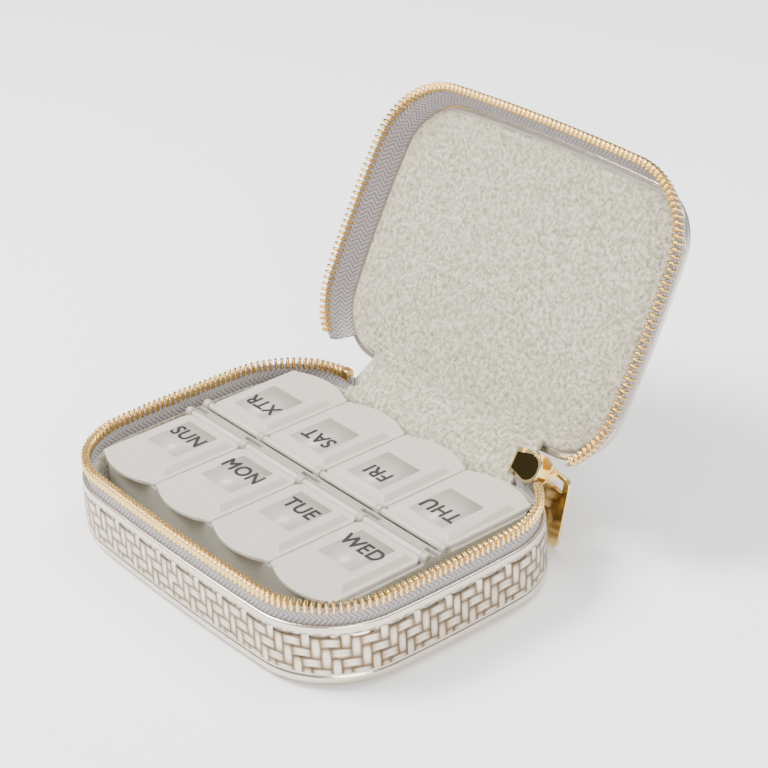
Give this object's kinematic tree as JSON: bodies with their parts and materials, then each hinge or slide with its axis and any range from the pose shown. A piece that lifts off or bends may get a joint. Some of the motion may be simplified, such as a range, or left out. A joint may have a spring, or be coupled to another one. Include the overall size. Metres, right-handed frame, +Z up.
{
  "type": "travel pill organizer",
  "caption": "Zipped soft case with rounded corners, open, holding a lift-out translucent tray of hinged-lid pill compartments in two rows.",
  "frame": {"origin": "middle of the flat underside of the case's base", "axes": "+Z up; X along the case's hinge; +Y from the front of the case towards the hinge"},
  "size_m": [0.1136, 0.128, 0.092],
  "materials": {
    "metallic_leather": "metallic silver faux leather, embossed with a basket weave",
    "board": "plain stiffener board",
    "suede": "grey-beige microfibre suede",
    "zip_tape": "woven herringbone tape",
    "gold_teeth": "polished",
    "gold_hardware": "polished",
    "frosted_tray": "frosted translucent",
    "frosted_lid": "frosted translucent"
  },
  "bodies": {
    "base": {"base_outer_wall": "metallic_leather", "base_bottom_cover": "metallic_leather", "base_bottom_welt": "metallic_leather", "base_bottom_board": "board", "base_wall_stiffener": "board", "base_wall_lining": "suede", "base_floor_lining": "suede", "lower_zip_tape": "zip_tape", "lower_zip_teeth": "gold_teeth", "zip_end_stop": "gold_teeth", "hinge_strip": "suede", "hinge_spine": "metallic_leather"},
    "case_lid": {"lid_outer_cover": "metallic_leather", "lid_welt": "metallic_leather", "lid_board": "board", "lid_lining": "suede", "upper_zip_tape": "zip_tape", "upper_zip_teeth": "gold_teeth"},
    "slider": {"slider_body": "gold_hardware"},
    "pull": {"pull_tab": "gold_hardware"},
    "tray": {"pill_tray": "frosted_tray"},
    "pill_lid_sun": {"lid_sun": "frosted_lid"},
    "pill_lid_mon": {"lid_mon": "frosted_lid"},
    "pill_lid_tue": {"lid_tue": "frosted_lid"},
    "pill_lid_wed": {"lid_wed": "frosted_lid"},
    "pill_lid_xtr": {"lid_xtr": "frosted_lid"},
    "pill_lid_sat": {"lid_sat": "frosted_lid"},
    "pill_lid_fri": {"lid_fri": "frosted_lid"},
    "pill_lid_thu": {"lid_thu": "frosted_lid"}
  },
  "joints": [
    {"name": "case_lid_hinge", "type": "hinge", "parent": "base", "child": "case_lid", "pos_m": [0, 0.03975, 0.022], "axis": [-1, 0, 0], "range_deg": [-120, 10], "deforming": ["hinge_strip", "hinge_spine"]},
    {"name": "slider_tip", "type": "hinge", "parent": "base", "child": "slider", "pos_m": [0.038, 0.03975, 0.023], "axis": [-1, 0, 0], "range_deg": [-36, 4]},
    {"name": "pull_tab_swing", "type": "hinge", "parent": "slider", "child": "pull", "pos_m": [0.0392, 0.04368, 0.02025], "axis": [0.2419, 0, 0.9703], "range_deg": [0, 35]},
    {"name": "tray_lift", "type": "slide", "parent": "base", "child": "tray", "axis": [0, 0, 1], "range_m": [0, 0.04]},
    {"name": "pill_lid_sun_hinge", "type": "hinge", "parent": "tray", "child": "pill_lid_sun", "pos_m": [-0.03555, -0.00175, 0.02], "axis": [-1, 0, 0], "range_deg": [0, 90]},
    {"name": "pill_lid_mon_hinge", "type": "hinge", "parent": "tray", "child": "pill_lid_mon", "pos_m": [-0.01185, -0.00175, 0.02], "axis": [-1, 0, 0], "range_deg": [0, 90]},
    {"name": "pill_lid_tue_hinge", "type": "hinge", "parent": "tray", "child": "pill_lid_tue", "pos_m": [0.01185, -0.00175, 0.02], "axis": [-1, 0, 0], "range_deg": [0, 90]},
    {"name": "pill_lid_wed_hinge", "type": "hinge", "parent": "tray", "child": "pill_lid_wed", "pos_m": [0.03555, -0.00175, 0.02], "axis": [-1, 0, 0], "range_deg": [0, 90]},
    {"name": "pill_lid_xtr_hinge", "type": "hinge", "parent": "tray", "child": "pill_lid_xtr", "pos_m": [-0.03555, 0.00375, 0.02], "axis": [1, 0, 0], "range_deg": [0, 90]},
    {"name": "pill_lid_sat_hinge", "type": "hinge", "parent": "tray", "child": "pill_lid_sat", "pos_m": [-0.01185, 0.00375, 0.02], "axis": [1, 0, 0], "range_deg": [0, 90]},
    {"name": "pill_lid_fri_hinge", "type": "hinge", "parent": "tray", "child": "pill_lid_fri", "pos_m": [0.01185, 0.00375, 0.02], "axis": [1, 0, 0], "range_deg": [0, 90]},
    {"name": "pill_lid_thu_hinge", "type": "hinge", "parent": "tray", "child": "pill_lid_thu", "pos_m": [0.03555, 0.00375, 0.02], "axis": [1, 0, 0], "range_deg": [0, 90]}
  ],
  "couplings": [
    {"joint": "slider_tip", "follows": "case_lid_hinge", "ratio": 0.29167}
  ]
}
